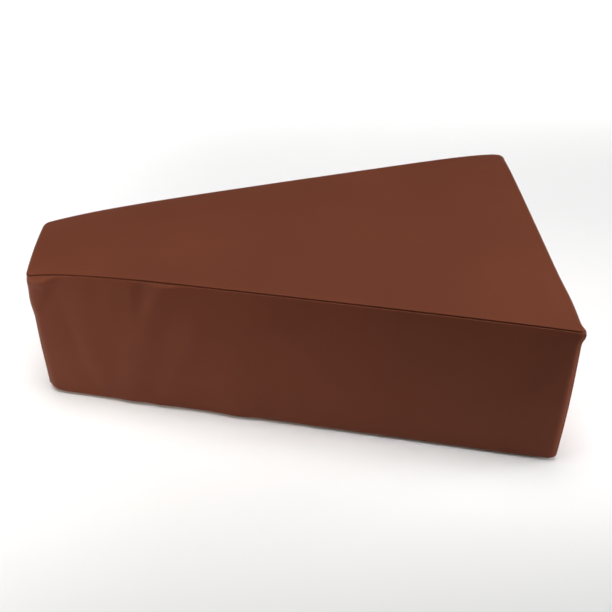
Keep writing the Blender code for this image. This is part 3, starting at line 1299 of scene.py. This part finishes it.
@dataclass(frozen=True)
class ThreadFinish:
    """Brown polyester sewing thread.

    Args:
        light: the thread's lighter tone.
        dark: its darker tone.
        roughness: roughness of the thread.
    """

    light: tuple[float, float, float, float] = (0.105, 0.032, 0.019, 1.0)
    dark: tuple[float, float, float, float] = (0.060, 0.018, 0.011, 1.0)
    roughness: float = 0.55

    def build(self, groups: dict[str, bpy.types.NodeTree]) -> bpy.types.Material:
        """Makes the material.

        Args:
            groups: the shared shader groups by name.

        Returns:
            The thread.
        """
        material, sheet, shader, where = new_material("brown thread")
        tones = {"Scale": 600.0, "Light": self.light, "Dark": self.dark}
        drift = sheet.add("ShaderNodeGroup", tones, node_tree=groups["drift"])
        plies = sheet.add("ShaderNodeTexNoise", {"Scale": 5000.0})
        bump = sheet.add("ShaderNodeBump", {"Strength": 0.5, "Distance": 0.00005})
        sheet.join(where.outputs["Object"], drift.inputs["Vector"])
        sheet.join(where.outputs["Object"], plies.inputs["Vector"])
        sheet.join(plies.outputs["Fac"], bump.inputs["Height"])
        sheet.join(bump.outputs["Normal"], shader.inputs["Normal"])
        sheet.join(drift.outputs["Color"], shader.inputs["Base Color"])
        rough = sheet.math("ADD", self.roughness, sheet.math("MULTIPLY", drift.outputs["Drift"], 0.1))
        sheet.join(rough, shader.inputs["Roughness"])
        return material


WARM = (1.0, 0.90, 0.80)


@dataclass(frozen=True)
class SoftLight:
    """One studio soft box.

    Args:
        name: the light's name.
        place: where it stands.
        aim: what it points at.
        size: width and height.
        watts: its power.
        spread: angle of its beam, in degrees.
        tone: its colour.
    """

    name: str
    place: tuple[float, float, float]
    aim: tuple[float, float, float]
    size: tuple[float, float]
    watts: float
    spread: float
    tone: tuple[float, float, float] = (1.0, 1.0, 1.0)

    def build(self) -> bpy.types.Object:
        """Makes the light and turns it to its aim.

        Returns:
            The light.
        """
        lamp = bpy.data.lights.new(self.name, "AREA")
        lamp.shape = "RECTANGLE"
        lamp.size, lamp.size_y = self.size
        lamp.energy = self.watts
        lamp.spread = math.radians(self.spread)
        lamp.color = self.tone
        obj = linked(self.name, lamp)
        obj.location = self.place
        obj.visible_camera = False
        look = Vector(self.aim) - Vector(self.place)
        obj.rotation_euler = look.to_track_quat("-Z", "Y").to_euler()
        return obj


@dataclass(frozen=True)
class Studio:
    """A pale floor, soft boxes and the camera of the photograph.

    Args:
        camera_place: where the camera stands.
        camera_pitch: degrees that it looks down.
        camera_yaw: degrees that it is turned about the vertical.
        camera_roll: degrees that it is rolled about its own axis.
        lens: focal length, in millimetres.
        floor_half: half of the floor's width.
        floor_tone: the floor's colour.
        world_strength: strength of the even light of the room.
        lights: the soft boxes.
    """

    camera_place: tuple[float, float, float] = (0.0022, -0.8025, 0.6397)
    camera_pitch: float = 35.52
    camera_yaw: float = -1.12
    camera_roll: float = -0.98
    lens: float = 54.68
    floor_half: float = 4.0
    floor_tone: tuple[float, float, float, float] = (0.86, 0.86, 0.86, 1.0)
    world_strength: float = 0.01
    lights: tuple[SoftLight, ...] = (
        SoftLight("overhead", (0.00, 0.00, 1.70), (0.00, 0.00, 0.10), (1.40, 1.10), 4.7, 60.0),
        SoftLight("overhead grid", (0.00, 0.05, 1.70), (0.00, 0.05, 0.10), (1.00, 0.80), 1.3, 40.0),
        SoftLight("left key", (-0.84, -0.47, 0.32), (-0.20, -0.08, 0.08), (0.35, 0.35), 0.43, 50.0, WARM),
        SoftLight("right rim", (1.10, 0.00, 0.40), (0.20, 0.00, 0.10), (0.50, 0.60), 0.89, 60.0),
        SoftLight("corner rim", (1.08, -0.40, 0.20), (0.26, -0.15, 0.10), (0.16, 0.16), 0.22, 20.0),
        SoftLight("back wash", (0.00, 1.90, 2.40), (0.00, 2.10, 0.00), (3.60, 1.60), 130.0, 60.0),
        SoftLight("left wash", (-1.60, 0.60, 2.00), (-1.60, 0.60, 0.00), (1.00, 2.00), 65.0, 60.0),
        SoftLight("right wash", (1.50, 0.40, 2.00), (1.50, 0.40, 0.00), (1.00, 2.00), 9.0, 60.0),
    )

    def build_camera(self) -> bpy.types.Object:
        """Makes the camera that stands where the photograph's stood.

        Returns:
            The camera.
        """
        turns = (self.camera_pitch, self.camera_yaw, self.camera_roll)
        pitch, yaw, roll = (math.radians(angle) for angle in turns)
        right = Vector((math.cos(yaw), math.sin(yaw), 0.0))
        level = math.cos(pitch)
        ahead = Vector((-math.sin(yaw) * level, math.cos(yaw) * level, -math.sin(pitch)))
        up = right.cross(ahead)
        leaned_right = right * math.cos(roll) + up * math.sin(roll)
        leaned_up = up * math.cos(roll) - right * math.sin(roll)
        data = bpy.data.cameras.new("camera")
        data.lens = self.lens
        data.sensor_width = 36.0
        camera = linked("camera", data)
        turn = Matrix((leaned_right, leaned_up, -ahead)).transposed()
        camera.matrix_world = Matrix.Translation(self.camera_place) @ turn.to_4x4()
        bpy.context.scene.camera = camera
        return camera

    def build_floor(self) -> bpy.types.Object:
        """Makes the pale floor.

        Returns:
            The floor.
        """
        half = self.floor_half
        corners = np.array([[-half, -half, 0], [half, -half, 0], [half, half, 0], [-half, half, 0]])
        floor = mesh_object("floor", corners - np.array([0, 0, 0.0002]), np.array([[0, 1, 2, 3]]))
        material, sheet, shader, where = new_material("pale floor")
        shader.inputs["Base Color"].default_value = self.floor_tone
        shader.inputs["Specular IOR Level"].default_value = 0.1
        noise = sheet.add("ShaderNodeTexNoise", {"Scale": 3.0})
        sheet.join(where.outputs["Object"], noise.inputs["Vector"])
        rough = sheet.math("ADD", 0.75, sheet.math("MULTIPLY", noise.outputs["Fac"], 0.1))
        sheet.join(rough, shader.inputs["Roughness"])
        floor.data.materials.append(material)
        return floor

    def build(self) -> None:
        """Makes the camera, the floor, the soft boxes and the even light of the room."""
        self.build_camera()
        self.build_floor()
        for light in self.lights:
            light.build()
        world = bpy.data.worlds.new("studio")
        world.use_nodes = True
        sky = world.node_tree.nodes["Background"]
        sky.inputs["Color"].default_value = (1.0, 1.0, 1.0, 1.0)
        sky.inputs["Strength"].default_value = self.world_strength
        bpy.context.scene.world = world
        bpy.context.scene.view_settings.view_transform = "Standard"


def main() -> None:
    """Builds the pad's pieces in order and reports each."""
    logging.basicConfig(level=logging.INFO, format="%(message)s")
    Studio().build()
    groups = {"grain": grain_group(), "drift": drift_group(), "rub": rub_group()}

    cover = ClothCover(PadForm(), ClothSettings())
    skin = cover.build()
    skin.data.materials.append(VinylFinish().build(groups))
    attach(skin, BODY)
    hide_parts(NODE)
    log.info("cover: %d points", len(skin.data.vertices))

    sewing = SeamSewing()
    stitches = sewing.build(cover, ThreadFinish().build(groups))
    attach(stitches, BODY)
    log.info("stitches: %d points", len(stitches.data.vertices))


if __name__ == "__main__":
    main()
